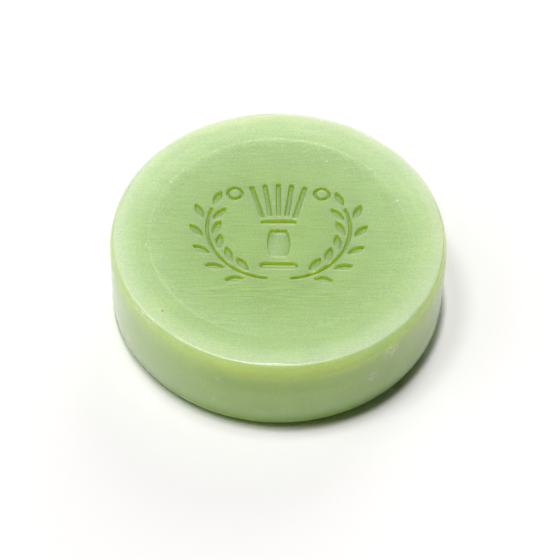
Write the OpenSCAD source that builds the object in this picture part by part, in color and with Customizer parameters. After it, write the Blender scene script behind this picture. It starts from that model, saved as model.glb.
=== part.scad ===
// A round cake of milled shaving soap. It is one solid piece: a puck with rounded edges, a shallow dish
// pressed into its face, the fine line that the rim of the press die leaves, and a stamped emblem of a
// shaving brush between two leaf sprigs, with a soap bubble on each side.
// Millimetres. The origin is the centre of the base, +Z is up, and +Y is the top of the emblem.

/* [Puck] */
// Diameter across the round side wall
puck_d = 76; // [70:1:84]
// Height from the base to the crest of the rim
puck_h = 21.4; // [18:0.2:26]

/* [Edges] */
// Distance of the rim's crest from the side wall, seen from above
crest_in = 1.3; // [0.8:0.1:2]
// Height of the rounding between the crest and the side wall
shoulder_h = 4.5; // [3:0.1:6]
// Distance of the flat base's edge from the side wall
base_round_in = 2.4; // [1:0.1:3]
// Height of the rounding between the base and the side wall
base_round_h = 2.9; // [1:0.1:4]

/* [Dish] */
// Depth of the dish's flat middle, below the crest
dish_depth = 0.65; // [0.5:0.05:1.2]
// Radius of the flat middle, which carries the emblem
flat_r = 22.4; // [21.5:0.1:23]
// Width of the smooth band between the crest and the die line
band_w = 7.9; // [6:0.1:9]
// Drop of that band from the crest to the die line
band_drop = 0.25; // [0.1:0.05:0.35]
// Height of the low step at the die line
die_step = 0.06; // [0.04:0.02:0.12]

/* [Emblem] */
// Depth of the emblem's floor below the flat middle of the dish
emblem_depth = 1.1; // [0.5:0.05:1.3]
// Size of the emblem, as a share of its drawn size
emblem_scale = 1; // [0.7:0.05:1]

/* [Hidden] */

puck_r = puck_d / 2;
crest_r = puck_r - crest_in;
die_line_r = crest_r - band_w;
die_line_z = puck_h - band_drop;
dish_floor_z = puck_h - dish_depth;
dish_rise = die_line_z - die_step - dish_floor_z;
die_step_w = 0.35;

EDGE_STEPS = 12;
DISH_STEPS = 8;
FINE = 96;

// The emblem's shapes stand apart, with soap between each two. The bristles fan out from one point.
foot_l = 6.6;
foot_w = 1.9;
foot_y = -8.6;
handle_w = 5.2;
handle_h = 8;
handle_lens_l = 14;
handle_y = -2.1;
collar_l = 6.8;
collar_w = 1.4;
collar_y = 4;
brush_heart_y = -8;
bristle_count = 5;
bristle_spread = 7.6;
bristle_from = 14.3;
bristle_to = 23;
bristle_w = 1.2;
bubble_x = 9.9;
bubble_y = 12.5;
bubble_r = 1.6;
bubble_w = 0.9;

sprig_x = 1.3;
sprig_y = 2.5;
sprig_r = 14.8;
stem_w = 0.9;
stem_from = -84;
stem_to = 21;
leaf_l = 4.8;
leaf_w = 1.85;
leaf_count = 5;
first_leaf = -67;
leaf_spacing = 19;
leaf_lean = 32;
leaf_gap = 1.05;

// The dish rises from its flat middle to the die line, and the band outside it rises to a level crest.
function dish_z(r) = dish_floor_z + dish_rise * pow((r - flat_r) / (die_line_r - flat_r), 2);
function band_z(r) = puck_h - band_drop * pow((crest_r - r) / band_w, 2);

base_edge = [for (i = [0 : EDGE_STEPS]) let (a = 90 * i / EDGE_STEPS)
    [puck_r - base_round_in * (1 - sin(a)), base_round_h * (1 - cos(a))]];
shoulder = [for (i = [0 : EDGE_STEPS]) let (a = 90 * i / EDGE_STEPS)
    [crest_r + crest_in * cos(a), puck_h - shoulder_h * (1 - sin(a))]];
band = [for (i = [1 : DISH_STEPS]) let (r = crest_r - (band_w - die_step_w) * i / DISH_STEPS)
    [r, band_z(r)]];
dish = [for (i = [0 : DISH_STEPS]) let (r = die_line_r - (die_line_r - flat_r) * i / DISH_STEPS)
    [r, dish_z(r)]];

// Half of the puck's cross-section, from the middle of the base out to the side and back over the dish
module cross_section() {
    polygon(concat([[0, 0]], base_edge, shoulder, band, dish, [[0, dish_floor_z]]));
}

// A bar along +Y from the origin, with round ends
module bar(length, width) {
    translate([-width / 2, 0]) square([width, length]);
    circle(d = width, $fn = FINE);
    translate([0, length]) circle(d = width, $fn = FINE);
}

// A level bar, centred on the emblem's middle line
module cross_bar(length, width, y) {
    translate([-length / 2, y]) rotate(-90) bar(length, width);
}

// A pointed shape on the origin, along Y: two arcs that meet at each end
module lens(length, width) {
    arc_r = (pow(length / 2, 2) + pow(width / 2, 2)) / width;
    intersection() {
        translate([arc_r - width / 2, 0]) circle(r = arc_r, $fn = FINE);
        translate([width / 2 - arc_r, 0]) circle(r = arc_r, $fn = FINE);
    }
}

// The curved stem of the right-hand sprig, about the sprig's own centre
module stem() {
    reach = 2 * sprig_r;
    middle = (stem_from + stem_to) / 2;
    intersection() {
        difference() {
            circle(r = sprig_r + stem_w / 2, $fn = FINE);
            circle(r = sprig_r - stem_w / 2, $fn = FINE);
        }
        polygon([
            [0, 0],
            reach * [cos(stem_from), sin(stem_from)],
            reach * [cos(middle), sin(middle)],
            reach * [cos(stem_to), sin(stem_to)]
        ]);
    }
}

// A leaf along +Y, with its base at the origin
module leaf() {
    translate([0, leaf_l / 2]) lens(leaf_l, leaf_w);
}

// One sprig: a stem, leaves in pairs that lean towards its tip, and a last leaf on the tip
module sprig() {
    translate([sprig_x, sprig_y]) {
        stem();
        for (i = [0 : leaf_count - 1], side = [-1, 1])
            rotate(first_leaf + leaf_spacing * i)
                translate([sprig_r + side * leaf_gap, 0])
                    rotate(-side * leaf_lean)
                        leaf();
        rotate(stem_to)
            translate([sprig_r, leaf_gap])
                leaf();
    }
}

// The brush stands on its foot: foot, barrel-shaped handle, collar and a fan of bristles
module brush() {
    cross_bar(foot_l, foot_w, foot_y);
    translate([0, handle_y]) intersection() {
        lens(handle_lens_l, handle_w);
        square([handle_w, handle_h], center = true);
    }
    cross_bar(collar_l, collar_w, collar_y);
    for (i = [0 : bristle_count - 1])
        translate([0, brush_heart_y])
            rotate(bristle_spread * (i - (bristle_count - 1) / 2))
                translate([0, bristle_from])
                    bar(bristle_to - bristle_from, bristle_w);
}

module bubble() {
    translate([bubble_x, bubble_y]) difference() {
        circle(r = bubble_r + bubble_w / 2, $fn = FINE);
        circle(r = bubble_r - bubble_w / 2, $fn = FINE);
    }
}

module emblem() {
    brush();
    sprig();
    mirror([1, 0]) sprig();
    bubble();
    mirror([1, 0]) bubble();
}

module soap_puck() {
    color([0.65, 0.78, 0.49]) difference() {
        rotate_extrude($fn = 180) cross_section();
        translate([0, 0, dish_floor_z - emblem_depth])
            linear_extrude(height = emblem_depth + dish_depth)
                scale(emblem_scale)
                    emblem();
    }
}

soap_puck();
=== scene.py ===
import math

import bpy
import numpy as np
from mathutils import Matrix, Vector
from mathutils.geometry import delaunay_2d_cdt


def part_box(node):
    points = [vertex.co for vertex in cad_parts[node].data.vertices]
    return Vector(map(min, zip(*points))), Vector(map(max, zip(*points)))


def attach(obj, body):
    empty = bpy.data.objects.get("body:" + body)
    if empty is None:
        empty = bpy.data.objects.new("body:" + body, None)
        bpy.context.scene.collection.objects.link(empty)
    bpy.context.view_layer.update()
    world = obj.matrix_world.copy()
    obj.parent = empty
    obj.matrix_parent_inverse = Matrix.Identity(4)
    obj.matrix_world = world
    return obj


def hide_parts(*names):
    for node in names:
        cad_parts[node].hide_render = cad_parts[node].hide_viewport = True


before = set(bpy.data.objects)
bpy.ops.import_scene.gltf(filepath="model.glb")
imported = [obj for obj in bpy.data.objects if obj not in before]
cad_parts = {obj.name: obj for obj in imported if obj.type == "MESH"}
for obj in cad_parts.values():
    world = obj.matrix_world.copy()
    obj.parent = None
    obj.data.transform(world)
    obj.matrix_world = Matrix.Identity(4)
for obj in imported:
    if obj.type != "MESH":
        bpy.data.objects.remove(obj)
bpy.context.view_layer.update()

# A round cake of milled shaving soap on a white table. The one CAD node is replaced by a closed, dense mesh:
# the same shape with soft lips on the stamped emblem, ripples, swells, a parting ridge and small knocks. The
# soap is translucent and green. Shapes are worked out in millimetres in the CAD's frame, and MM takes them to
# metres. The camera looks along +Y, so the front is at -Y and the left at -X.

MM = 0.001
NODE = "soap_puck"
LOW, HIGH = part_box(NODE)

# The puck's section, as in the CAD source
SIDE_R = (HIGH.x - LOW.x) / 2 / MM
PUCK_H = (HIGH.z - LOW.z) / MM
CREST_IN, SHOULDER_H = 1.3, 4.5
BASE_ROUND_IN, BASE_ROUND_H = 2.4, 2.9
DISH_DEPTH, FLAT_R = 0.65, 22.4
BAND_W, BAND_DROP = 7.9, 0.25
DIE_STEP, DIE_STEP_W = 0.06, 0.35
EMBLEM_DEPTH = 1.1

# At the front, where it is worn, the die line's step is wider by this many times its width at the back
WORN_STEP = 2.2
# Heights of the face's unevenness: ripples and slow waves in the dish, turned rings and waves on the band
RIPPLE_H, DISH_WAVE_H, BAND_RING_H, BAND_WAVE_H = 0.010, 0.020, 0.012, 0.014
# A row of strong ripples below the emblem: height, and middle and half width along Y
STRONG_RIPPLE_H, STRONG_RIPPLE_Y, STRONG_RIPPLE_W = 0.045, -16.8, 2.4

# The parting ridge lies in the plane z = PARTING_Z + PARTING_X x + PARTING_Y y
PARTING_X, PARTING_Y, PARTING_Z = 0.067, 0.053, 18.72
PARTING_H, PARTING_W = 0.07, 0.22
# It rises between these two places along X, and dies away between these two along Y
RIDGE_START_X, RIDGE_FULL_X = 8, 24
RIDGE_FULL_Y, RIDGE_END_Y = -2, 6

CREST_R = SIDE_R - CREST_IN
DIE_LINE_R = CREST_R - BAND_W
DIE_LINE_Z = PUCK_H - BAND_DROP
DISH_FLOOR_Z = PUCK_H - DISH_DEPTH
EMBLEM_FLOOR_Z = DISH_FLOOR_Z - EMBLEM_DEPTH

# Mesh spacing
ROUND_POINTS = 480
LATTICE_STEP = 0.52
OUTLINE_STEP = 0.3
BAND_RINGS = 14
DIE_RINGS = (0.66, 0.33, 0.0, -1.0)    # places across the die line's step, as shares of its width
DISH_MARGIN, STROKE_MARGIN = 0.75, 0.2
BASE_STEP, BASE_MARGIN = 1.6, 0.7
SHOULDER_RINGS, WALL_RINGS, FOOT_RINGS = 24, 21, 13
ROW_SHARE = 0.866    # between the rows of a triangular pattern, as a share of its step
# The wall's mean radius stands this far inside the CAD's, so that its swells stay within the CAD box
SWELL_ROOM = 0.05
SLOW_SWELL, SMALL_SWELL = 0.030, 0.010
# Cells along each side of the random grid that soft_noise repeats
NOISE_CELLS = 64


def smooth(t):
    t = np.clip(t, 0.0, 1.0)
    return t * t * (3 - 2 * t)


def soft_noise(x, y, size, seed):
    """Smooth random heights from -1 to 1 over the plane, with bumps about size apart."""
    heights = np.random.default_rng(seed).uniform(-1, 1, (NOISE_CELLS, NOISE_CELLS))
    u, v = x / size + 1000.3, y / size + 1000.7
    i, j = np.floor(u).astype(int), np.floor(v).astype(int)
    a, b = smooth(u - i), smooth(v - j)
    i0, j0, i1, j1 = i % NOISE_CELLS, j % NOISE_CELLS, (i + 1) % NOISE_CELLS, (j + 1) % NOISE_CELLS
    low = heights[i0, j0] * (1 - a) + heights[i1, j0] * a
    high = heights[i0, j1] * (1 - a) + heights[i1, j1] * a
    return low * (1 - b) + high * b


# ---------------------------------------------------------------- the face

def face_z(x, y):
    """Height of the pressed face without the emblem: flat middle, slope of the dish, die line and band."""
    r = np.hypot(x, y)
    slope = DIE_LINE_Z - DIE_STEP - DISH_FLOOR_Z
    dish = DISH_FLOOR_Z + slope * np.clip((r - FLAT_R) / (DIE_LINE_R - FLAT_R), 0, None) ** 2
    band = PUCK_H - BAND_DROP * np.clip((CREST_R - r) / BAND_W, 0, 1.2) ** 2
    # The step at the die line is crisp at the back and worn soft at the front
    step_w = DIE_STEP_W * (1 + WORN_STEP * smooth((6 - y) / 24))
    z = dish + (band - dish) * smooth((r - DIE_LINE_R) / step_w)

    inside = 1 - smooth((r - DIE_LINE_R + 1.5) / 1.5)
    angle = np.arctan2(y, x)
    # The wire-cut face keeps long level ripples inside the die line, strongest below the emblem
    below = np.exp(-((y - STRONG_RIPPLE_Y) / STRONG_RIPPLE_W) ** 2)
    z = z + inside * RIPPLE_H * soft_noise(x, y * 6, 9, 3)
    z = z + inside * below * STRONG_RIPPLE_H * soft_noise(x, y * 9, 11, 4)
    z = z + inside * DISH_WAVE_H * soft_noise(x, y, 8, 5)
    # The band is turned smooth, with shallow rings that come and go round it
    outside = smooth((r - DIE_LINE_R) / 0.8) * (1 - smooth((r - CREST_R + 1.2) / 1.2))
    rings = np.sin(r * 2.6 + 0.8 * np.sin(2 * angle)) * (0.6 + 0.4 * np.sin(3 * angle + 1))
    z = z + outside * BAND_RING_H * rings
    z = z + outside * BAND_WAVE_H * soft_noise(x, y, 7, 6)
    return np.minimum(z + knocks(x, y), PUCK_H)


# Small marks of handling on the face: x, y, half length, half width, turn in degrees, and depth, where a
# negative depth is a bump
KNOCKS = [
    (9.0, 21.2, 1.0, 0.16, -62, 0.10),
    (9.0, 20.1, 0.7, 0.16, 20, 0.10),
    (-25.3, -22.3, 0.35, 0.35, 0, -0.05),
    (27.0, 10.2, 0.30, 0.20, 10, -0.06),
    (-24.6, 15.4, 0.30, 0.20, 0, -0.06),
    (-29.4, -3.5, 1.4, 0.12, 12, -0.05),
    (6.0, -25.2, 0.9, 0.10, 5, 0.04),
    (-3.0, -31.4, 1.6, 0.12, -3, 0.05),
]


def knocks(x, y):
    z = np.zeros_like(x)
    for cx, cy, along, across, turn, depth in KNOCKS:
        c, s = math.cos(math.radians(turn)), math.sin(math.radians(turn))
        u, v = (x - cx) * c + (y - cy) * s, -(x - cx) * s + (y - cy) * c
        z -= depth * np.exp(-((u / along) ** 4) - (v / across) ** 2)
    return z


# ---------------------------------------------------------------- the emblem
# A loop is the closed line down the middle of a stroke, as (points, outward normals, half width). Pushing its
# points out along their normals by half width plus d gives the stroke's outline at the distance d outside it.

FOOT = (6.6, 1.9, -8.6)
COLLAR = (6.8, 1.4, 4.0)
HANDLE_W, HANDLE_H, HANDLE_LENS_L, HANDLE_Y = 5.2, 8.0, 14.0, -2.1
BRUSH_HEART_Y = -8.0
BRISTLES, BRISTLE_SPREAD = 5, 7.6
BRISTLE_FROM, BRISTLE_TO, BRISTLE_W = 14.3, 23.0, 1.2
BUBBLE_X, BUBBLE_Y, BUBBLE_R, BUBBLE_W = 9.9, 12.5, 1.6, 0.9
BUBBLE_POINTS = 32
SPRIG_X, SPRIG_Y, SPRIG_R = 1.3, 2.5, 14.8
STEM_W, STEM_FROM, STEM_TO = 0.9, -84, 21
LEAF_L, LEAF_W, LEAVES, FIRST_LEAF = 4.8, 1.85, 5, -67
LEAF_SPACING, LEAF_LEAN, LEAF_GAP = 19, 32, 1.05
TIP_ROUND = 0.3
FAN_STEPS = 10

# The wall of a stamped stroke: distance outside the outline, and share of the full depth
WALL = [
    (0.40, 0.0), (0.26, -0.012), (0.13, -0.012), (0.05, 0.04), (-0.02, 0.16), (-0.07, 0.34),
    (-0.12, 0.56), (-0.17, 0.77), (-0.21, 0.91), (-0.25, 0.98), (-0.29, 1.0),
]


def unit(degrees):
    a = np.radians(degrees)
    return np.stack([np.cos(a), np.sin(a)], axis=-1)


def fan(corner, start, end):
    """One corner, with its normal turning from start to end, in degrees."""
    steps = max(2, round(abs(end - start) / 180 * FAN_STEPS) + 1)
    return np.repeat([corner], steps, axis=0), unit(np.linspace(start, end, steps))


def straight(start, end, normal):
    """Points between start and end, without the ends, with one normal."""
    start, end = np.array(start, float), np.array(end, float)
    count = max(1, int(np.linalg.norm(end - start) / OUTLINE_STEP))
    t = np.linspace(0, 1, count + 2)[1:-1, None]
    return start + (end - start) * t, np.repeat(unit([normal]), count, axis=0)


def arc(centre, radius, start, end, inward=False):
    """Points of an arc, without its ends, with normals away from its centre or towards it."""
    count = max(1, int(abs(radius * math.radians(end - start)) / OUTLINE_STEP))
    away = unit(np.linspace(start, end, count + 2)[1:-1])
    return np.array(centre) + radius * away, -away if inward else away


def loop(half, *runs):
    return np.concatenate([p for p, _ in runs]), np.concatenate([n for _, n in runs]), half


def bar(length, width):
    """A bar along +Y from the origin, with round ends."""
    return loop(width / 2, straight((0, 0), (0, length), 0), fan((0, length), 0, 180),
                straight((0, length), (0, 0), 180), fan((0, 0), 180, 360))


def lens(length, width):
    """A pointed shape along Y on the origin. Its own points are rounded by TIP_ROUND."""
    arc_r = (length ** 2 + width ** 2) / (4 * width)
    side_x = arc_r - width / 2
    core_r = arc_r - TIP_ROUND
    tip_angle = math.degrees(math.acos(side_x / core_r))
    tip_y = core_r * math.sin(math.radians(tip_angle))
    return loop(TIP_ROUND,
                arc((-side_x, 0), core_r, -tip_angle, tip_angle),
                fan((0, tip_y), tip_angle, 180 - tip_angle),
                arc((side_x, 0), core_r, 180 - tip_angle, 180 + tip_angle),
                fan((0, -tip_y), 180 + tip_angle, 360 - tip_angle))


def barrel(width, height, lens_length):
    """The brush's handle: a lens with its two ends cut off level."""
    arc_r = (lens_length ** 2 + width ** 2) / (4 * width)
    side_x = arc_r - width / 2
    core_r, half_h = arc_r - TIP_ROUND, height / 2 - TIP_ROUND
    end = math.degrees(math.asin(half_h / core_r))
    corner_x = core_r * math.cos(math.radians(end)) - side_x
    return loop(TIP_ROUND,
                arc((-side_x, 0), core_r, -end, end),
                fan((corner_x, half_h), end, 90),
                straight((corner_x, half_h), (-corner_x, half_h), 90),
                fan((-corner_x, half_h), 90, 180 - end),
                arc((side_x, 0), core_r, 180 - end, 180 + end),
                fan((-corner_x, -half_h), 180 + end, 270),
                straight((-corner_x, -half_h), (corner_x, -half_h), 270),
                fan((corner_x, -half_h), 270, 360 - end))


def stem():
    half = STEM_W / 2
    start, end = SPRIG_R * unit(STEM_FROM), SPRIG_R * unit(STEM_TO)
    return loop(half,
                arc((0, 0), SPRIG_R, STEM_FROM, STEM_TO),
                fan(end, STEM_TO, STEM_TO + 180),
                arc((0, 0), SPRIG_R, STEM_TO, STEM_FROM, inward=True),
                fan(start, STEM_FROM + 180, STEM_FROM + 360))


def place(shape, turn=0.0, x=0.0, y=0.0):
    points, normals, half = shape
    c, s = math.cos(math.radians(turn)), math.sin(math.radians(turn))
    spin = np.array([[c, s], [-s, c]])
    return points @ spin + (x, y), normals @ spin, half


def mirrored(shape):
    points, normals, half = shape
    flip = np.array([-1, 1])
    return (points * flip)[::-1], (normals * flip)[::-1], half


def sprig():
    shapes = [stem()]
    leaf = place(lens(LEAF_L, LEAF_W), 0, 0, LEAF_L / 2)
    for i in range(LEAVES):
        for side in (-1, 1):
            leaned = place(leaf, -side * LEAF_LEAN, SPRIG_R + side * LEAF_GAP, 0)
            shapes.append(place(leaned, FIRST_LEAF + LEAF_SPACING * i))
    shapes.append(place(place(leaf, 0, SPRIG_R, LEAF_GAP), STEM_TO))
    return [place(s, 0, SPRIG_X, SPRIG_Y) for s in shapes]


def bubble():
    """A stamped ring has two closed outlines, so it is two loops."""
    turns = np.arange(0, 360, 360 / BUBBLE_POINTS)
    ring = BUBBLE_R * unit(turns)
    centre = (BUBBLE_X, BUBBLE_Y)
    return [place((ring, unit(turns), BUBBLE_W / 2), 0, *centre),
            place((ring, -unit(turns), BUBBLE_W / 2), 0, *centre)]


def brush():
    shapes = []
    for length, width, y in (FOOT, COLLAR):
        shapes.append(place(bar(length, width), -90, -length / 2, y))
    shapes.append(place(barrel(HANDLE_W, HANDLE_H, HANDLE_LENS_L), 0, 0, HANDLE_Y))
    for i in range(BRISTLES):
        one = place(bar(BRISTLE_TO - BRISTLE_FROM, BRISTLE_W), 0, 0, BRISTLE_FROM)
        shapes.append(place(one, BRISTLE_SPREAD * (i - (BRISTLES - 1) / 2), 0, BRUSH_HEART_Y))
    return shapes


def emblem():
    right = sprig() + bubble()
    return brush() + right + [mirrored(s) for s in right]


def outline(shape, d):
    points, normals, half = shape
    return points + normals * (half + d)


def crossings(points, polygon):
    """How many sides of a closed polygon lie to the right of each point, at its height. Odd is inside."""
    x, y = points[:, 0, None], points[:, 1, None]
    x0, y0 = polygon[:, 0], polygon[:, 1]
    x1, y1 = np.roll(x0, -1), np.roll(y0, -1)
    across = (y0 > y) != (y1 > y)
    with np.errstate(divide="ignore", invalid="ignore"):
        at = x0 + (y - y0) * (x1 - x0) / (y1 - y0)
    return (across & (x < at)).sum(axis=1)


def clear_of(points, shapes, gap):
    """The points outside every stamped stroke and at least gap from its outermost line."""
    crossed = np.zeros(len(points), int)
    near = np.zeros(len(points), bool)
    for shape in shapes:
        line = outline(shape, WALL[0][0])
        box_low, box_high = line.min(0) - gap, line.max(0) + gap
        close = np.all((points > box_low) & (points < box_high), axis=1).nonzero()[0]
        if len(close) == 0:
            continue
        crossed[close] += crossings(points[close], line)
        away = np.linalg.norm(points[close, None] - line[None], axis=2).min(axis=1)
        near[close[away < gap]] = True
    return points[(crossed % 2 == 0) & ~near]


# ---------------------------------------------------------------- the mesh

def ring_points(radius, shift=0.0):
    return radius * unit((np.arange(ROUND_POINTS) + shift) * 360 / ROUND_POINTS)


def lattice(radius, step):
    """Points in a triangular pattern inside a circle."""
    row_step = step * ROW_SHARE
    rows = int(radius / row_step) + 1
    columns = int(radius / step) + 1
    j, i = np.mgrid[-rows:rows + 1, -columns:columns + 1]
    points = np.stack([(i + 0.5 * (j % 2)) * step, j * row_step], axis=-1).reshape(-1, 2)
    return points[np.hypot(points[:, 0], points[:, 1]) < radius]


def closed_edges(first, count):
    return [(first + i, first + (i + 1) % count) for i in range(count)]


def triangulated(points, edges):
    """Triangles over the points that keep the edges: new points, triangles, and where each point went."""
    out, _, triangles, sources, _, _ = delaunay_2d_cdt([Vector(p) for p in points], edges, [], 0, 1e-5)
    where = {}
    for new, olds in enumerate(sources):
        for old in olds:
            where[old] = new
    return np.array([tuple(p) for p in out]), triangles, where


def face_mesh():
    """The pressed face out to the crest: vertices, triangles, and the crest's vertices in order."""
    points, edges, depth = [ring_points(CREST_R)], closed_edges(0, ROUND_POINTS), [np.zeros(ROUND_POINTS)]
    count = ROUND_POINTS

    def add(new, share, loop_edges):
        nonlocal count
        if loop_edges:
            edges.extend(closed_edges(count, len(new)))
        points.append(new)
        depth.append(np.full(len(new), share))
        count += len(new)

    band_rings = np.linspace(CREST_R, DIE_LINE_R + DIE_STEP_W, BAND_RINGS + 1)[1:]
    for k, radius in enumerate(band_rings):
        add(ring_points(radius, 0.5 * ((k + 1) % 2)), 0.0, False)
    for k, share in enumerate(DIE_RINGS):
        add(ring_points(DIE_LINE_R + DIE_STEP_W * share, 0.5 * (k % 2)), 0.0, False)
    shapes = emblem()
    for shape in shapes:
        for d, share in WALL:
            add(outline(shape, d), share, True)
    add(clear_of(lattice(DIE_LINE_R - DISH_MARGIN, LATTICE_STEP), shapes, STROKE_MARGIN), 0.0, False)

    flat, triangles, where = triangulated(np.concatenate(points), edges)
    share = np.zeros(len(flat))
    for old, value in enumerate(np.concatenate(depth)):
        share[where[old]] = value
    surface = face_z(flat[:, 0], flat[:, 1])
    surface[[where[i] for i in range(ROUND_POINTS)]] = PUCK_H
    z = surface + (EMBLEM_FLOOR_Z - surface) * share
    return np.column_stack([flat, z]), triangles, [where[i] for i in range(ROUND_POINTS)]


def side_profile():
    """(radius, height) from just below the crest to the edge of the flat base."""
    turns = np.radians(np.concatenate([np.arange(87, 68, -3), np.linspace(66, 0, SHOULDER_RINGS)]))
    shoulder = [(CREST_R + CREST_IN * math.cos(a), PUCK_H - SHOULDER_H * (1 - math.sin(a))) for a in turns]
    wall = [(SIDE_R, z) for z in np.linspace(PUCK_H - SHOULDER_H, BASE_ROUND_H, WALL_RINGS + 1)[1:]]
    foot = [(SIDE_R - BASE_ROUND_IN * (1 - math.cos(a)), BASE_ROUND_H * (1 - math.sin(a)))
            for a in np.radians(np.linspace(0, 90, FOOT_RINGS + 1))[1:]]
    return shoulder + wall + foot


def side_swell(angle, z):
    """How far the wall stands out from its mean radius: slow unevenness, and the parting ridge."""
    around = angle * SIDE_R
    uneven = SLOW_SWELL * soft_noise(around, z * 1.5, 14, 8) + SMALL_SWELL * soft_noise(around, z * 2, 4, 9)
    x, y = SIDE_R * np.cos(angle), SIDE_R * np.sin(angle)
    off_plane = z - (PARTING_Z + PARTING_X * x + PARTING_Y * y)
    there = smooth((x - RIDGE_START_X) / (RIDGE_FULL_X - RIDGE_START_X))
    there = there * smooth((RIDGE_END_Y - y) / (RIDGE_END_Y - RIDGE_FULL_Y))
    ridge = PARTING_H * np.exp(-(off_plane / PARTING_W) ** 2) * there
    return (uneven + ridge) * smooth((z - 0.5) / 3)


def build_puck():
    face, triangles, crest = face_mesh()
    vertices, faces = [face], [list(t) for t in triangles]
    profile = side_profile()
    turns = np.radians(np.arange(ROUND_POINTS) * 360 / ROUND_POINTS)
    above, first = crest, len(face)
    for radius, z in profile:
        r = np.minimum(radius - SWELL_ROOM + side_swell(turns, np.full(ROUND_POINTS, z)), SIDE_R)
        vertices.append(np.column_stack([r * np.cos(turns), r * np.sin(turns), np.full(ROUND_POINTS, z)]))
        ring = list(range(first, first + ROUND_POINTS))
        for i in range(ROUND_POINTS):
            j = (i + 1) % ROUND_POINTS
            faces.append([above[i], ring[i], ring[j], above[j]])
        above, first = ring, first + ROUND_POINTS

    base_r = profile[-1][0] - SWELL_ROOM
    base, base_triangles, where = triangulated(
        np.concatenate([ring_points(base_r), lattice(base_r - BASE_MARGIN, BASE_STEP)]),
        closed_edges(0, ROUND_POINTS))
    number = {where[i]: above[i] for i in range(ROUND_POINTS)}
    inner = [i for i in range(len(base)) if i not in number]
    number.update({i: first + k for k, i in enumerate(inner)})
    vertices.append(np.column_stack([base[inner], np.zeros(len(inner))]))
    faces += [[number[i] for i in reversed(t)] for t in base_triangles]
    return np.concatenate(vertices) * MM, faces


def mesh_object(name, vertices, faces):
    mesh = bpy.data.meshes.new(name)
    mesh.from_pydata([tuple(v) for v in vertices], [], faces)
    mesh.validate()
    mesh.update()
    mesh.shade_smooth()
    piece = bpy.data.objects.new(name, mesh)
    bpy.context.scene.collection.objects.link(piece)
    return piece


# ---------------------------------------------------------------- materials

class Nodes:
    """Short calls for building a material's node tree."""

    def __init__(self, name):
        self.material = bpy.data.materials.new(name)
        self.material.use_nodes = True
        self.tree = self.material.node_tree
        self.shader = self.tree.nodes["Principled BSDF"]

    def link(self, value, socket):
        if isinstance(value, bpy.types.NodeSocket):
            self.tree.links.new(value, socket)
        elif value is not None:
            socket.default_value = value

    def node(self, kind, settings=None, **inputs):
        made = self.tree.nodes.new(kind)
        for key, value in (settings or {}).items():
            setattr(made, key, value)
        for key, value in inputs.items():
            self.link(value, made.inputs[int(key[1:]) if key[0] == "_" else key])
        return made

    def math(self, operation, a, b=None, c=None, clamp=False):
        settings = {"operation": operation, "use_clamp": clamp}
        return self.node("ShaderNodeMath", settings, _0=a, _1=b, _2=c).outputs[0]

    def ramp(self, value, low, high, start=0.0, end=1.0):
        """value, taken from low..high to start..end with soft ends."""
        return self.node("ShaderNodeMapRange", {"interpolation_type": "SMOOTHSTEP"}, _0=value,
                         _1=low, _2=high, _3=start, _4=end).outputs[0]

    def noise(self, vector, scale, detail=2.0, roughness=0.5):
        return self.node("ShaderNodeTexNoise", Vector=vector, Scale=scale, Detail=detail,
                         Roughness=roughness).outputs["Fac"]

    def stretched(self, vector, scale):
        return self.node("ShaderNodeVectorMath", {"operation": "MULTIPLY"}, _0=vector, _1=scale).outputs[0]

    def scaled(self, vector, scale):
        return self.node("ShaderNodeVectorMath", {"operation": "SCALE"}, _0=vector, Scale=scale).outputs[0]

    def both(self, a, b):
        return self.math("MULTIPLY", a, b)

    def between(self, value, low, high, soft):
        """1 where value is between low and high, fading out over soft on each side."""
        return self.both(self.ramp(value, low - soft, low), self.ramp(value, high, high + soft, 1, 0))

    def near(self, vector, centre, inner, outer):
        """1 within inner of the centre, fading out to outer."""
        away = self.node("ShaderNodeVectorMath", {"operation": "DISTANCE"}, _0=vector, _1=centre)
        return self.ramp(away.outputs["Value"], inner, outer, 1, 0)

    def mix(self, share, a, b):
        made = self.node("ShaderNodeMix", {"data_type": "RGBA"})
        self.link(share, made.inputs[0])
        self.link(a, made.inputs[6])
        self.link(b, made.inputs[7])
        return made.outputs[2]


# Noise on the soap: scale (per mm), detail, roughness; and how the place is stretched before it
FINE_NOISE = (2.6, 3, 0.7)
STREAK_NOISE, STREAK_STRETCH = (1, 3, 0.7), (0.16, 3.2, 0.3)
CLOUD_NOISE = (0.16, 3, 0.5)
DASH_NOISE = (1.1, 2, 0.5)
YELLOW_NOISE, YELLOW_STRETCH = (1, 2, 0.5), (0.12, 0.12, 0.5)
PATCH_NOISE = (1.3, 3, 0.6)
# How much the fine grain, the streaks and the clouds change the colour's brightness
GRAIN, STREAK, CLOUD = 0.74, 0.46, 0.14
BUMP_STRENGTH, BUMP_HEIGHT = 0.35, 0.00012

SOAP_IOR = 1.46
SCATTER_REACH = 0.020
SCATTER_COLOUR = (1.0, 0.9, 0.32)

# The face's paler rim, partly the soap's own colour and partly painted sheen, grows outwards as RIM_GAIN
# times this power of the radius, and its painted sheen leans to the back
RIM_POWER, RIM_GAIN, RIM_SHEEN_LEAN = 4.0, 1.25, 0.08
CENTRE_GREEN = (0.325, 0.48, 0.163, 1)
RIM_PALE_AND_SHEEN = (0.54, 0.69, 0.40, 1)
BACK_RIM_SHEEN = (0.545, 0.70, 0.455, 1)
# Painted shade for the walls of the stamped strokes
STAMP_WALL_SHADE = (0.27, 0.41, 0.045, 1)
STAMP_FLOOR_GREEN = (0.36, 0.51, 0.19, 1)
SPECK_BROWN = (0.40, 0.26, 0.08, 1)
BLOOM = (0.84, 0.88, 0.72, 1)
# Painted highlight for the crest
CREST_HIGHLIGHT = (0.80, 0.85, 0.90, 1)

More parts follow.
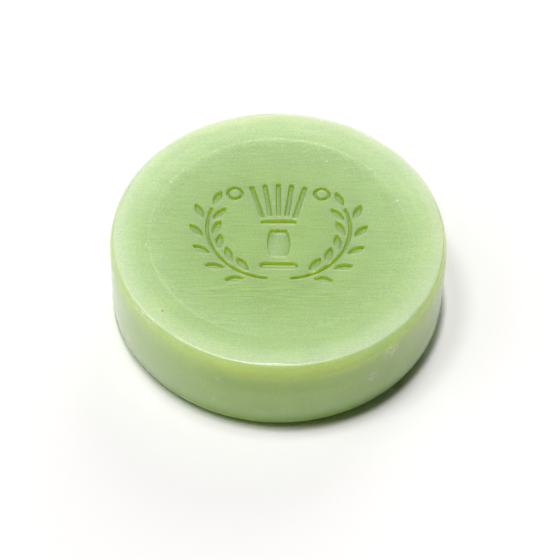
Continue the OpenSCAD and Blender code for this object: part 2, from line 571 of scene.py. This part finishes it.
UPPER_GREEN = (0.49, 0.645, 0.22, 1)
LOWER_GREEN = (0.50, 0.73, 0.27, 1)
FRONT_BAND_SHADE = (0.40, 0.60, 0.18, 1)
LEFT_LIT_GREEN = (0.515, 0.685, 0.365, 1)
RIGHT_SHADE_GREEN = (0.42, 0.57, 0.22, 1)
FOOT_BOUNCE_LIGHT = (0.69, 0.85, 0.45, 1)
FRONT_FOOT_SHADE = (0.29, 0.53, 0.06, 1)
CONTACT_GLOW = (0.52, 0.84, 0.10, 1)
CREST_EDGE_SHADE = (0.40, 0.58, 0.24, 1)
SHOULDER_GREEN = (0.455, 0.65, 0.27, 1)
SHOULDER_YELLOW_AND_GLOW = (0.59, 0.69, 0.21, 1)
RIDGE_YELLOW = (0.74, 0.79, 0.42, 1)

# Zones are painted one over the other, each as a colour and the ramps whose product is its share. A ramp is
# what it follows (a coordinate in millimetres, or the fine noise), where it starts and ends, and the share at
# its start and end.
STAMP_R, STAMP_FADE_R = 22.6, 23.4
STAMP_ZONES = [
    # The floors of the stamped strokes are a little paler than their walls
    (STAMP_FLOOR_GREEN, [("radius", STAMP_R, STAMP_FADE_R, 1, 0),
                         ("z", EMBLEM_FLOOR_Z + 0.06, EMBLEM_FLOOR_Z + 0.2, 1, 0)]),
    # Painted shade: the walls of the stamped strokes are deep green
    (STAMP_WALL_SHADE, [("radius", STAMP_R, STAMP_FADE_R, 0.9, 0),
                        ("z", EMBLEM_FLOOR_Z, EMBLEM_FLOOR_Z + 0.12, 0, 1),
                        ("z", DISH_FLOOR_Z - 0.22, DISH_FLOOR_Z - 0.10, 1, 0)]),
]
WALL_ZONES = [
    # Painted shade: a deeper band under the shoulder at the front
    (FRONT_BAND_SHADE, [("z", 11.2, 14.2, 0, 1), ("z", 15.2, 18.2, 1, 0), ("y", -36, -20, 0.55, 0)]),
    # Painted light and reflection: a cooler, paler left side
    (LEFT_LIT_GREEN, [("x", -34, -8, 0.8, 0)]),
    # Painted light from the table: a pale foot at the sides, and less so at the back
    (FOOT_BOUNCE_LIGHT, [("z", 2, 9, 0.8, 0), ("y", -32, -16, 0, 1), ("y", 4, 26, 1, 0.4)]),
    # Painted shade: a deep green foot at the front
    (FRONT_FOOT_SHADE, [("z", 0.8, 5.8, 1, 0), ("y", -35, -26, 1, 0)]),
    # Painted glow: a bright green ring close to the table, fainter at the back
    (CONTACT_GLOW, [("z", 0.9, 2.6, 1, 0), ("y", -14, 4, 1, 0.3)]),
    # Painted shade: a duller right side, above the foot
    (RIGHT_SHADE_GREEN, [("x", 8, 26, 0, 0.6), ("z", 4, 9, 0, 1)]),
]
SHOULDER_ZONES = [
    # Painted shade: a deeper ring just outside the crest
    (CREST_EDGE_SHADE, [("radius", CREST_R + 0.15, CREST_R + 0.3, 0, 0.45),
                  ("radius", CREST_R + 0.75, CREST_R + 0.9, 1, 0)]),
    # Painted sheen: the back of the shoulder is as pale as the face's rim
    (RIM_PALE_AND_SHEEN, [("y", 5, 22, 0, 1), ("z", 17, 20, 0, 1)]),
]
FOOT_LINE_ZONES = [
    # A pale line along the foot on the right
    (BLOOM, [("z", 1.25, 1.5, 0, 1), ("z", 1.9, 2.15, 1, 0), ("x", 12, 24, 0, 1), ("y", -6, 8, 0.45, 0)]),
]
CREST_HIGHLIGHT_ZONES = [
    # Painted highlight on the crest, broken by the grain and most at the front
    (CREST_HIGHLIGHT, [("radius", CREST_R - 0.08, CREST_R + 0.02, 0, 1),
                   ("radius", CREST_R + 0.12, CREST_R + 0.22, 1, 0),
                   ("fine", 0.3, 0.7, 0.40, 0.54), ("y", -30, -8, 0.9, 0.5)]),
]

# Pale patches of bloom on the wall: x, y, z, radius, strength
PATCHES = [
    (24.5, -29.0, 16.4, 3.2, 0.45),
    (20.7, -31.9, 11.0, 2.2, 0.40),
    (34.7, -15.3, 17.6, 2.4, 0.45),
    (-13.0, -35.7, 14.8, 1.6, 0.25),
    (-14.2, -35.3, 6.8, 1.0, 0.30),
]
# Pale crumbs on the face: x, y, radius
CRUMBS = [
    (27.0, 10.2, 0.22),
    (-24.6, 15.4, 0.2),
    (11.2, 22.4, 0.16),
    (-29.6, -3.4, 0.16),
    (-3.2, -20.9, 0.1),
]
# One brown speck on the face: x, y, radius of its heart and of its edge
SPECK_X, SPECK_Y, SPECK_HEART, SPECK_EDGE = -25.3, -22.3, 0.12, 0.34
# Fine scratches outside the crest: distance from it, and the angles between which they run
SCRATCHES = [(0.45, -150, -141), (0.7, -147, -138), (0.32, -143.5, -137)]
SCRATCH_W, SCRATCH_SOFT, SCRATCH_END = 0.08, 0.06, 0.01


class Soap(Nodes):
    """The soap's material. along holds what a ramp can follow: millimetre coordinates and the fine noise."""

    def __init__(self):
        super().__init__("milled_soap")
        place = self.node("ShaderNodeTexCoord").outputs["Object"]
        self.spot = self.scaled(place, 1 / MM)
        x, y, z = self.node("ShaderNodeSeparateXYZ", _0=self.spot).outputs
        radius = self.math("SQRT", self.math("ADD", self.both(x, x), self.both(y, y)))
        fine = self.noise(self.spot, *FINE_NOISE)
        self.along = {"x": x, "y": y, "z": z, "radius": radius, "fine": fine}

    def painted(self, colour, zones):
        """The colour with each zone mixed over it."""
        for zone_colour, ramps in zones:
            share = None
            for name, *ends in ramps:
                ramp = self.ramp(self.along[name], *ends)
                share = ramp if share is None else self.both(share, ramp)
            colour = self.mix(share, colour, zone_colour)
        return colour


def face_colour(m):
    x, y, radius = m.along["x"], m.along["y"], m.along["radius"]
    # The face grows paler towards the rim, partly the soap's own colour and partly painted sheen. The painted
    # sheen is stronger at the back and the back left. Just outside the die line painted sheen makes it paler
    # still at the back, and painted shade makes it deeper at the front.
    share = m.math("POWER", m.math("DIVIDE", radius, SIDE_R), RIM_POWER)
    lean = m.both(m.math("DIVIDE", y, SIDE_R), m.math("MULTIPLY_ADD", share, -RIM_SHEEN_LEAN, RIM_SHEEN_LEAN))
    die_line_sheen_and_shade = m.math("ADD", m.ramp(y, -28, -12, -0.14, 0), m.ramp(y, 2, 16, 0, 0.2))
    die_line_sheen_and_shade = m.both(m.between(radius, 28.9, 32.0, 1.8), die_line_sheen_and_shade)
    share = m.math("ADD", m.math("MULTIPLY_ADD", share, RIM_GAIN, lean), die_line_sheen_and_shade, clamp=True)
    # Painted sheen towards the back left, on the outer band
    back_left_sheen = m.ramp(m.math("MULTIPLY_ADD", x, -0.5, y), -15, 12)
    back_left_sheen = m.both(back_left_sheen, m.ramp(radius, 29.5, 35))
    colour = m.mix(share, CENTRE_GREEN, m.mix(back_left_sheen, RIM_PALE_AND_SHEEN, BACK_RIM_SHEEN))
    colour = m.painted(colour, STAMP_ZONES)

    # Broken pale dashes along the die line, most at the back
    dashes = m.both(m.between(radius, DIE_LINE_R + 0.08, DIE_LINE_R + 0.22, 0.1),
                    m.ramp(m.noise(m.spot, *DASH_NOISE), 0.50, 0.60))
    colour = m.mix(m.both(dashes, m.ramp(y, 0, 27, 0.07, 0.28)), colour, BLOOM)

    level_spot = m.stretched(m.spot, (1, 1, 0))
    for cx, cy, size in CRUMBS:
        crumb = m.near(level_spot, (cx, cy, 0), size, 1.9 * size)
        colour = m.mix(m.both(crumb, 0.5), colour, BLOOM)
    speck = m.near(level_spot, (SPECK_X, SPECK_Y, 0), SPECK_HEART, SPECK_EDGE)
    return m.mix(speck, colour, SPECK_BROWN)


def side_colour(m):
    x, y, z = m.along["x"], m.along["y"], m.along["z"]
    # The wall is yellower above and bluer below
    colour = m.painted(m.mix(m.ramp(z, 2, 16), LOWER_GREEN, UPPER_GREEN), WALL_ZONES)

    # The parting ridge stands on the right of the shoulder, in a plane tipped down to the front left
    plane = m.math("ADD", m.both(x, PARTING_X), m.math("MULTIPLY_ADD", y, PARTING_Y, PARTING_Z))
    above_plane = m.math("SUBTRACT", z, plane)
    there = m.both(m.ramp(x, RIDGE_START_X, RIDGE_FULL_X), m.ramp(y, RIDGE_FULL_Y, RIDGE_END_Y, 1, 0))
    colour = m.mix(m.both(m.ramp(above_plane, 0.1, 0.5), there), colour, SHOULDER_GREEN)
    colour = m.painted(colour, SHOULDER_ZONES)

    # Yellow clouds under the ridge, and fainter ones on the front of the shoulder that paint the glow of
    # light through the soap
    yellow = m.ramp(m.noise(m.stretched(m.spot, YELLOW_STRETCH), *YELLOW_NOISE), 0.36, 0.62, 0.05, 0.35)
    under_ridge = m.both(there, m.between(above_plane, -0.9, 0, 0.7))
    front_glow = m.both(m.ramp(x, -22, 4), m.math("SUBTRACT", 1, there))
    front_glow = m.both(front_glow, m.between(z, 17.6, 19.6, 1.2))
    yellow = m.both(yellow, m.math("MULTIPLY_ADD", front_glow, 0.6, under_ridge))
    colour = m.mix(yellow, colour, SHOULDER_YELLOW_AND_GLOW)

    for cx, cy, cz, size, strength in PATCHES:
        broken = m.ramp(m.noise(m.spot, *PATCH_NOISE), 0.36, 0.70)
        patch = m.both(m.near(m.spot, (cx, cy, cz), 0.2 * size, size), broken)
        colour = m.mix(m.both(patch, strength), colour, BLOOM)
    ridge = m.both(m.between(above_plane, -0.04, 0.04, 0.15), m.both(there, 0.6))
    return m.painted(m.mix(ridge, colour, RIDGE_YELLOW), FOOT_LINE_ZONES)


def scratched(m, colour):
    """The colour with the fine pale scratches outside the crest."""
    angle = m.math("ARCTAN2", m.along["y"], m.along["x"])
    for reach, start, end in SCRATCHES:
        near = CREST_R + reach
        line = m.both(m.between(m.along["radius"], near, near + SCRATCH_W, SCRATCH_SOFT),
                      m.between(angle, math.radians(start), math.radians(end), SCRATCH_END))
        colour = m.mix(m.both(line, m.ramp(m.along["fine"], 0.4, 0.6, 0.05, 0.5)), colour, BLOOM)
    return colour


def level_streaks(m):
    """Long level streaks on the face, about zero: strongest below the emblem, fading out past the crest."""
    y, radius = m.along["y"], m.along["radius"]
    streaks = m.noise(m.stretched(m.spot, STREAK_STRETCH), *STREAK_NOISE)
    streaks = m.both(m.math("SUBTRACT", streaks, 0.5), m.ramp(radius, 27, 33, 1.0, 0.4))
    below_emblem = m.both(m.between(y, -18.2, -15.4, 1.5), m.ramp(radius, 20, 25, 1.2, 0))
    streaks = m.both(streaks, m.math("ADD", below_emblem, 1))
    return m.both(streaks, m.ramp(radius, CREST_R, SIDE_R, 1, 0))


def soap_material():
    m = Soap()
    z, radius, fine = m.along["z"], m.along["radius"], m.along["fine"]
    past_crest = m.ramp(radius, CREST_R - 0.3, CREST_R + 0.05)
    colour = m.mix(past_crest, face_colour(m), side_colour(m))
    colour = scratched(m, m.painted(colour, CREST_HIGHLIGHT_ZONES))

    # Grain, streaks and soft clouds, as a share of the colour's brightness
    calm = m.both(m.ramp(radius, 27, 33, 1, 0.65), m.ramp(radius, 36, 37.5, 1, 0.6))
    grain = m.both(m.math("SUBTRACT", fine, 0.5), calm)
    streaks = level_streaks(m)
    clouds = m.math("MULTIPLY_ADD", m.noise(m.spot, *CLOUD_NOISE), CLOUD, -CLOUD / 2)
    tone = m.math("ADD", m.both(streaks, STREAK), clouds)
    tone = m.math("ADD", m.math("MULTIPLY_ADD", grain, GRAIN, 1), tone)
    m.link(m.scaled(colour, tone), m.shader.inputs["Base Color"])

    # Dull in the dish, on the crest and at the foot, and glossier on the band and the wall
    dullness = m.math("ADD", m.ramp(radius, 24, 34, 0.38, 0.19), m.ramp(z, 1.2, 3.2, 0.4, 0))
    on_crest = m.both(m.between(radius, CREST_R - 0.1, CREST_R + 0.3, 0.25), 0.16)
    m.link(m.math("ADD", dullness, on_crest), m.shader.inputs["Roughness"])

    m.shader.inputs["IOR"].default_value = SOAP_IOR
    m.shader.inputs["Subsurface Weight"].default_value = 1.0
    m.shader.inputs["Subsurface Radius"].default_value = SCATTER_COLOUR
    m.shader.inputs["Subsurface Scale"].default_value = SCATTER_REACH
    relief = m.math("ADD", m.both(fine, 0.5), m.both(streaks, 0.5))
    bump = m.node("ShaderNodeBump", Strength=BUMP_STRENGTH, Distance=BUMP_HEIGHT, Height=relief)
    m.link(bump.outputs[0], m.shader.inputs["Normal"])
    return m.material


def table_material():
    m = Nodes("white_table")
    m.shader.inputs["Base Color"].default_value = TABLE_WHITE
    m.shader.inputs["Roughness"].default_value = TABLE_ROUGHNESS
    m.shader.inputs["Specular IOR Level"].default_value = TABLE_SPECULAR
    return m.material


# ---------------------------------------------------------------- stage

# The camera's turns are in degrees, its lens and sensor in millimetres, and its clipping in metres. Its
# distance, and how far right of and above the middle of the puck's base it aims, are shares of the puck's
# radius.
CAMERA_YAW, CAMERA_PITCH, CAMERA_ROLL = -1.54, 51.16, -1.697
CAMERA_DISTANCE, CAMERA_LENS, SENSOR_W = 12.737, 134.1, 36
CLIP_START, CLIP_END = 0.01, 20
AIM_RIGHT, AIM_UP = 0.01626, 0.07816


def make_camera():
    radius = SIDE_R * MM
    yaw, pitch = math.radians(CAMERA_YAW), math.radians(CAMERA_PITCH)
    forward = Vector((-math.sin(yaw) * math.cos(pitch), math.cos(yaw) * math.cos(pitch), -math.sin(pitch)))
    right = Vector((math.cos(yaw), math.sin(yaw), 0))
    up = right.cross(forward)
    data = bpy.data.cameras.new("camera")
    data.sensor_width, data.lens = SENSOR_W, CAMERA_LENS
    data.clip_start, data.clip_end = CLIP_START, CLIP_END
    camera = bpy.data.objects.new("camera", data)
    bpy.context.scene.collection.objects.link(camera)
    camera.matrix_world = (
        Matrix.Translation((right * AIM_RIGHT + up * AIM_UP - forward * CAMERA_DISTANCE) * radius)
        @ Matrix((right, up, -forward)).transposed().to_4x4()
        @ Matrix.Rotation(math.radians(-CAMERA_ROLL), 4, "Z"))
    bpy.context.scene.camera = camera


LIGHT_DISTANCE = 4.0
# Round softboxes: name, azimuth (0 is +X and 90 is +Y), elevation, width in metres, power in watts
SOFTBOXES = [
    ("key_core", 126, 86.4, 0.34, 68),
    ("near_back_light", 98, 81, 0.55, 34),
    ("near_left_light", 176, 72, 1.05, 49),
    ("left_light", 180, 48, 2.0, 27),
    ("low_back_light", 70, 30, 2.3, 47),
]
TABLE_HALF = 1.5
TABLE_WHITE = (0.86, 0.845, 0.845, 1)
TABLE_ROUGHNESS, TABLE_SPECULAR = 0.8, 0.2
# Strength of the studio's own faint light, and what the camera sees on top of it beyond the table
STUDIO_GLOW, BACKDROP_WHITE = 0.008, 0.97


def area_light(name, azimuth, elevation, size, power):
    """A softbox that faces the puck."""
    data = bpy.data.lights.new(name, "AREA")
    data.shape, data.size, data.energy = "DISK", size, power
    lamp = bpy.data.objects.new(name, data)
    bpy.context.scene.collection.objects.link(lamp)
    around, up = math.radians(azimuth), math.radians(elevation)
    aim = Vector((math.cos(up) * math.cos(around), math.cos(up) * math.sin(around), math.sin(up)))
    lamp.location = aim * LIGHT_DISTANCE
    lamp.rotation_mode = "QUATERNION"
    lamp.rotation_quaternion = aim.to_track_quat("Z", "Y")


def make_stage():
    corners = [(TABLE_HALF * i, TABLE_HALF * j, 0) for i, j in ((-1, -1), (1, -1), (1, 1), (-1, 1))]
    table = mesh_object("table", corners, [[0, 1, 2, 3]])
    table.data.materials.append(table_material())
    # The studio is dark round the softboxes, with a white backdrop behind the table
    world = bpy.data.worlds.new("studio")
    world.use_nodes = True
    tree = world.node_tree
    seen = tree.nodes.new("ShaderNodeLightPath").outputs["Is Camera Ray"]
    strength = tree.nodes.new("ShaderNodeMath")
    strength.operation = "MULTIPLY_ADD"
    strength.inputs[1].default_value = BACKDROP_WHITE
    strength.inputs[2].default_value = STUDIO_GLOW
    tree.links.new(seen, strength.inputs[0])
    tree.links.new(strength.outputs[0], tree.nodes["Background"].inputs["Strength"])
    tree.nodes["Background"].inputs["Color"].default_value = (1, 1, 1, 1)
    bpy.context.scene.world = world
    for softbox in SOFTBOXES:
        area_light(*softbox)
    bpy.context.scene.view_settings.view_transform = "Standard"


make_camera()
puck = mesh_object("soap_puck_body", *build_puck())
puck.data.materials.append(soap_material())
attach(puck, "root")
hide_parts(NODE)
make_stage()
